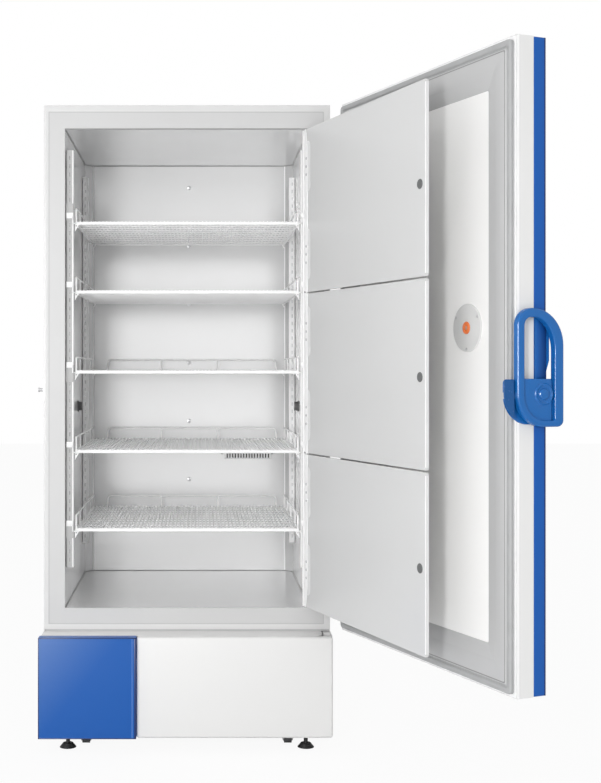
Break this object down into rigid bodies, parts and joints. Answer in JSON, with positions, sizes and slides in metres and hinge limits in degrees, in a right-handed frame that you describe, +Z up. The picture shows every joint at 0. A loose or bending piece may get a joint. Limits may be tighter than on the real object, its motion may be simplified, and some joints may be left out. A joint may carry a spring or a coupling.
{
  "type": "laboratory freezer",
  "caption": "Upright laboratory freezer with an insulated outer door swung open on a latch, stacked inner doors, wire shelves and a machine base on feet and casters.",
  "frame": {"origin": "on the floor, under the middle of the left levelling foot, where the foot stands on z = 0", "axes": "+X to the right seen from the front, +Y to the back, +Z up"},
  "size_m": [1.3384, 1.6031, 1.899],
  "materials": {
    "white_paint": "smooth powder coat",
    "blue_paint": "satin powder coat",
    "liner_grey": "smooth semi-gloss coat",
    "breaker_grey": "extruded profile",
    "shelf_white": "plastic-coated wire",
    "inner_door_white": "smooth sheet",
    "liner_plastic": "vacuum-formed sheet",
    "bright_steel": "brushed",
    "gasket_rubber": "soft extruded seal",
    "black_rubber": "moulded",
    "foam": "rigid foam",
    "blue_plastic": "moulded",
    "orange_plastic": "moulded",
    "black_plastic": "moulded",
    "galvanised": "galvanised sheet",
    "black_paint": "baked enamel",
    "fin_aluminium": "bare fins",
    "wheel_grey": "moulded"
  },
  "bodies": {
    "cabinet": {"back_panel": "white_paint", "base_chassis": "white_paint", "base_ledge": "breaker_grey", "base_panel_blue": "blue_paint", "base_panel_white": "white_paint", "bottom_panel": "white_paint", "breaker_frame": "breaker_grey", "cabinet_wrapper": "white_paint", "caster_forks_rear": "galvanised", "compressor": "black_paint", "condenser": "fin_aluminium", "control_box": "galvanised", "door_hinges_cabinet": "white_paint", "door_keeper": "bright_steel", "fan_motor": "galvanised", "front_posts": "liner_grey", "hinge_strip": "shelf_white", "inner_door_catches": "shelf_white", "inner_door_hinges": "bright_steel", "inner_liner": "liner_grey", "insulation_foam": "foam", "liner_screws": "bright_steel", "port_stoppers": "black_rubber", "power_inlet": "black_plastic", "rear_standards": "shelf_white", "rear_vent_grille": "galvanised", "sensor_cover": "shelf_white", "shelf_1": "shelf_white", "shelf_2": "shelf_white", "shelf_3": "shelf_white", "shelf_4": "shelf_white", "shelf_5": "shelf_white", "shelf_clips": "shelf_white"},
    "outer_door": {"door_pan": "white_paint", "door_foam": "foam", "door_liner": "liner_plastic", "door_gasket": "gasket_rubber", "door_front_blue": "blue_paint", "door_front_white": "white_paint", "display_panel": "black_plastic", "port_plate": "liner_plastic", "port_plug": "orange_plastic", "door_hinges_door": "white_paint", "latch_housing": "blue_plastic"},
    "handle": {"handle_lever": "blue_plastic", "latch_hook": "bright_steel"},
    "inner_door_top": {"inner_door_top": "inner_door_white"},
    "inner_door_middle": {"inner_door_middle": "inner_door_white"},
    "inner_door_bottom": {"inner_door_bottom": "inner_door_white"},
    "fan": {"fan_blades": "black_plastic"},
    "foot_left": {"foot_left": "black_rubber"},
    "foot_right": {"foot_right": "black_rubber"},
    "caster_fork_left": {"caster_fork_front_left": "galvanised"},
    "caster_fork_right": {"caster_fork_front_right": "galvanised"},
    "wheel_front_left": {"caster_wheel_front_left": "wheel_grey"},
    "wheel_front_right": {"caster_wheel_front_right": "wheel_grey"},
    "wheel_rear_left": {"caster_wheel_rear_left": "wheel_grey"},
    "wheel_rear_right": {"caster_wheel_rear_right": "wheel_grey"}
  },
  "joints": [
    {"name": "outer_door_hinge", "type": "hinge", "parent": "cabinet", "child": "outer_door", "pos_m": [0.791, 0.026, 1.12], "axis": [0, 0, 1], "range_deg": [-112, 8]},
    {"name": "handle_pivot", "type": "hinge", "parent": "outer_door", "child": "handle", "pos_m": [1.194, -0.76191, 1.056], "axis": [-0.3746, 0.9272, 0], "range_deg": [0, 60]},
    {"name": "inner_door_top_hinge", "type": "hinge", "parent": "cabinet", "child": "inner_door_top", "pos_m": [0.703, 0.0275, 1.584], "axis": [0, 0, 1], "range_deg": [-110, 8]},
    {"name": "inner_door_middle_hinge", "type": "hinge", "parent": "cabinet", "child": "inner_door_middle", "pos_m": [0.703, 0.0275, 1.102], "axis": [0, 0, 1], "range_deg": [-110, 8]},
    {"name": "inner_door_bottom_hinge", "type": "hinge", "parent": "cabinet", "child": "inner_door_bottom", "pos_m": [0.703, 0.0275, 0.635], "axis": [0, 0, 1], "range_deg": [-110, 8]},
    {"name": "fan_spin", "type": "hinge", "parent": "cabinet", "child": "fan", "pos_m": [0.576, 0.042, 0.15], "axis": [0, 1, 0], "continuous": true},
    {"name": "foot_left_screw", "type": "hinge", "parent": "cabinet", "child": "foot_left", "pos_m": [0, 0, 0.02], "axis": [0, 0, 1], "continuous": true},
    {"name": "caster_left_swivel", "type": "hinge", "parent": "cabinet", "child": "caster_fork_left", "pos_m": [0.051, 0.048, 0.036], "axis": [0, 0, 1], "continuous": true},
    {"name": "wheel_front_left_axle", "type": "hinge", "parent": "caster_fork_left", "child": "wheel_front_left", "pos_m": [0.051, 0.034, 0.018], "axis": [1, 0, 0], "continuous": true},
    {"name": "wheel_rear_left_axle", "type": "hinge", "parent": "cabinet", "child": "wheel_rear_left", "pos_m": [0.051, 0.712, 0.016], "axis": [1, 0, 0], "continuous": true},
    {"name": "foot_right_screw", "type": "hinge", "parent": "cabinet", "child": "foot_right", "pos_m": [0.702, 0, 0.02], "axis": [0, 0, 1], "continuous": true},
    {"name": "caster_right_swivel", "type": "hinge", "parent": "cabinet", "child": "caster_fork_right", "pos_m": [0.651, 0.048, 0.036], "axis": [0, 0, 1], "continuous": true},
    {"name": "wheel_front_right_axle", "type": "hinge", "parent": "caster_fork_right", "child": "wheel_front_right", "pos_m": [0.651, 0.034, 0.018], "axis": [1, 0, 0], "continuous": true},
    {"name": "wheel_rear_right_axle", "type": "hinge", "parent": "cabinet", "child": "wheel_rear_right", "pos_m": [0.651, 0.712, 0.016], "axis": [1, 0, 0], "continuous": true}
  ],
  "couplings": [
    {"joint": "inner_door_top_hinge", "follows": "outer_door_hinge", "ratio": 0.98214},
    {"joint": "inner_door_middle_hinge", "follows": "outer_door_hinge", "ratio": 0.98214},
    {"joint": "inner_door_bottom_hinge", "follows": "outer_door_hinge", "ratio": 0.98214}
  ]
}
